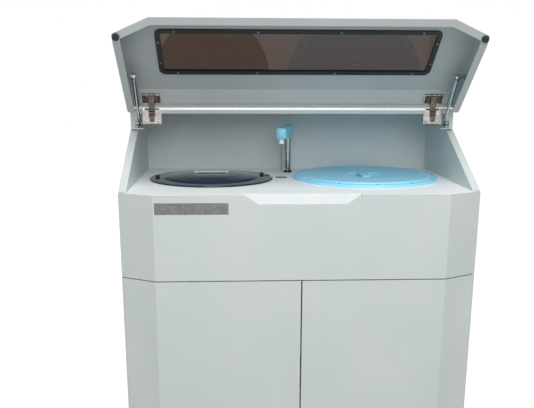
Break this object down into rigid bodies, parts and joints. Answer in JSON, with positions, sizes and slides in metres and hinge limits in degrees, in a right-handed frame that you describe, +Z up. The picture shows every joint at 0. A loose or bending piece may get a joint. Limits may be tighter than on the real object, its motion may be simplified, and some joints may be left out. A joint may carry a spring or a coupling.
{
  "type": "chemistry analyzer",
  "caption": "Floor-standing chemistry analyzer: cabinet with doors, worktop with covered reaction and reagent wells, sampling probe, and a raised windowed lid on gas springs.",
  "frame": {"origin": "centre of the footprint on the floor", "axes": "+X to the viewer's right, +Y from the front panel to the rear, +Z up"},
  "size_m": [1, 0.64, 1.3299],
  "materials": {
    "panel_paint": "satin powder coat",
    "worktop_paint": "satin powder coat",
    "liner_paint": "satin powder coat",
    "lid_paint": "satin powder coat",
    "zinc_steel": "zinc plated",
    "nickel": "nickel plated",
    "smoked_glass": "brown tinted glass",
    "black_rubber": "matte rubber",
    "black_plastic": "fine texture",
    "smoked_plastic": "gloss, blue-black",
    "blue_plastic": "gloss, light blue",
    "arm_plastic": "gloss, light blue",
    "pale_plastic": "satin",
    "clear_plastic": "clear",
    "tank_plastic": "milky",
    "bright_steel": "polished",
    "aluminium": "machined",
    "motor_black": "satin black",
    "board": "green board"
  },
  "bodies": {
    "cabinet": {"base_beams": "zinc_steel", "levelling_feet": "zinc_steel", "base_pan": "panel_paint", "side_panel_left": "panel_paint", "side_panel_right": "panel_paint", "rear_panel": "panel_paint", "rear_connectors": "black_plastic", "upper_front_panel": "panel_paint", "worktop": "worktop_paint", "hood_liner": "liner_paint", "top_ledge": "panel_paint", "equipment_deck": "zinc_steel", "centre_partition": "zinc_steel", "door_catches": "black_plastic", "door_hinges": "zinc_steel", "hinge_bases": "nickel", "spring_brackets": "zinc_steel", "reaction_well": "aluminium", "reaction_drive": "motor_black", "reagent_well": "aluminium", "reagent_drive": "motor_black", "probe_collar": "black_plastic", "probe_tower": "aluminium", "probe_guides": "bright_steel", "wash_station": "pale_plastic", "photometer": "motor_black", "syringe_pump": "pale_plastic", "tanks": "tank_plastic", "connector_plate": "panel_paint", "power_supply": "zinc_steel", "control_board": "board"},
    "lid": {"lid_shell": "lid_paint", "lid_window": "smoked_glass", "window_gasket": "black_rubber", "window_screws": "nickel", "lid_bumpers": "black_rubber", "hinge_cups": "nickel", "spring_studs": "zinc_steel"},
    "spring_left_tube": {"spring_tube_left": "bright_steel"},
    "spring_left_rod": {"spring_rod_left": "nickel"},
    "spring_right_tube": {"spring_tube_right": "bright_steel"},
    "spring_right_rod": {"spring_rod_right": "nickel"},
    "left_door": {"door_left": "panel_paint"},
    "right_door": {"door_right": "panel_paint"},
    "smoked_cover": {"reaction_cover": "smoked_plastic", "cover_handle": "pale_plastic"},
    "left_knob": {"cover_knob_left": "black_plastic"},
    "right_knob": {"cover_knob_right": "black_plastic"},
    "blue_cover": {"reagent_cover": "blue_plastic", "reagent_grip": "blue_plastic"},
    "cuvette_wheel": {"reaction_rotor": "black_plastic", "cuvettes": "clear_plastic"},
    "reagent_carousel": {"reagent_tray": "pale_plastic", "reagent_bottles": "tank_plastic"},
    "carriage": {"probe_carriage": "aluminium"},
    "probe": {"probe_column": "bright_steel", "probe_arm": "arm_plastic", "probe_nozzle": "pale_plastic", "probe_needle": "bright_steel"},
    "plunger": {"syringe_plunger": "bright_steel"}
  },
  "joints": [
    {"name": "lid_hinge", "type": "hinge", "parent": "cabinet", "child": "lid", "pos_m": [0, 0.038, 1.07], "axis": [1, 0, 0], "range_deg": [0, 68]},
    {"name": "spring_tube_left_hinge", "type": "hinge", "parent": "lid", "child": "spring_left_tube", "pos_m": [-0.47, -0.08235, 1.181], "axis": [1, 0, 0], "range_deg": [-1, 1]},
    {"name": "spring_tube_right_hinge", "type": "hinge", "parent": "lid", "child": "spring_right_tube", "pos_m": [0.47, -0.08235, 1.181], "axis": [1, 0, 0], "range_deg": [-1, 1]},
    {"name": "spring_rod_left_slide", "type": "slide", "parent": "spring_left_tube", "child": "spring_left_rod", "axis": [0, 0.6163, -0.7875], "range_m": [-0.036, 0]},
    {"name": "spring_rod_right_slide", "type": "slide", "parent": "spring_right_tube", "child": "spring_right_rod", "axis": [0, 0.6163, -0.7875], "range_m": [-0.036, 0]},
    {"name": "door_left_hinge", "type": "hinge", "parent": "cabinet", "child": "left_door", "pos_m": [-0.489, -0.262, 0.35], "axis": [0, 0, -1], "range_deg": [0, 110]},
    {"name": "door_right_hinge", "type": "hinge", "parent": "cabinet", "child": "right_door", "pos_m": [0.489, -0.262, 0.35], "axis": [0, 0, 1], "range_deg": [0, 110]},
    {"name": "smoked_cover_lift", "type": "slide", "parent": "cabinet", "child": "smoked_cover", "axis": [0, 0, -1], "range_m": [-0.12, 0]},
    {"name": "left_knob_turn", "type": "hinge", "parent": "smoked_cover", "child": "left_knob", "pos_m": [-0.421, 0.01, 0.88], "axis": [0, 0, 1], "continuous": true},
    {"name": "right_knob_turn", "type": "hinge", "parent": "smoked_cover", "child": "right_knob", "pos_m": [-0.09713, 0.0613, 0.88], "axis": [0, 0, 1], "continuous": true},
    {"name": "blue_cover_lift", "type": "slide", "parent": "cabinet", "child": "blue_cover", "axis": [0, 0, -1], "range_m": [-0.12, 0]},
    {"name": "cuvette_wheel_spin", "type": "hinge", "parent": "cabinet", "child": "cuvette_wheel", "pos_m": [-0.255, 0.01, 0.81], "axis": [0, 0, 1], "continuous": true},
    {"name": "reagent_carousel_spin", "type": "hinge", "parent": "cabinet", "child": "reagent_carousel", "pos_m": [0.225, 0.022, 0.78], "axis": [0, 0, 1], "continuous": true},
    {"name": "probe_lift", "type": "slide", "parent": "cabinet", "child": "carriage", "axis": [0, 0, 1], "range_m": [-0.055, 0.038]},
    {"name": "probe_swing", "type": "hinge", "parent": "carriage", "child": "probe", "pos_m": [-0.007, 0.162, 0.9], "axis": [0, 0, 1], "range_deg": [0, 29]},
    {"name": "syringe_stroke", "type": "slide", "parent": "cabinet", "child": "plunger", "axis": [0, 0, -1], "range_m": [0, 0.035]}
  ],
  "couplings": [
    {"joint": "spring_tube_left_hinge", "follows": "lid_hinge", "ratio": 0.001741},
    {"joint": "spring_tube_right_hinge", "follows": "lid_hinge", "ratio": 0.001741},
    {"joint": "spring_rod_left_slide", "follows": "lid_hinge", "m_per_rad": -0.029798},
    {"joint": "spring_rod_right_slide", "follows": "lid_hinge", "m_per_rad": -0.029798}
  ]
}
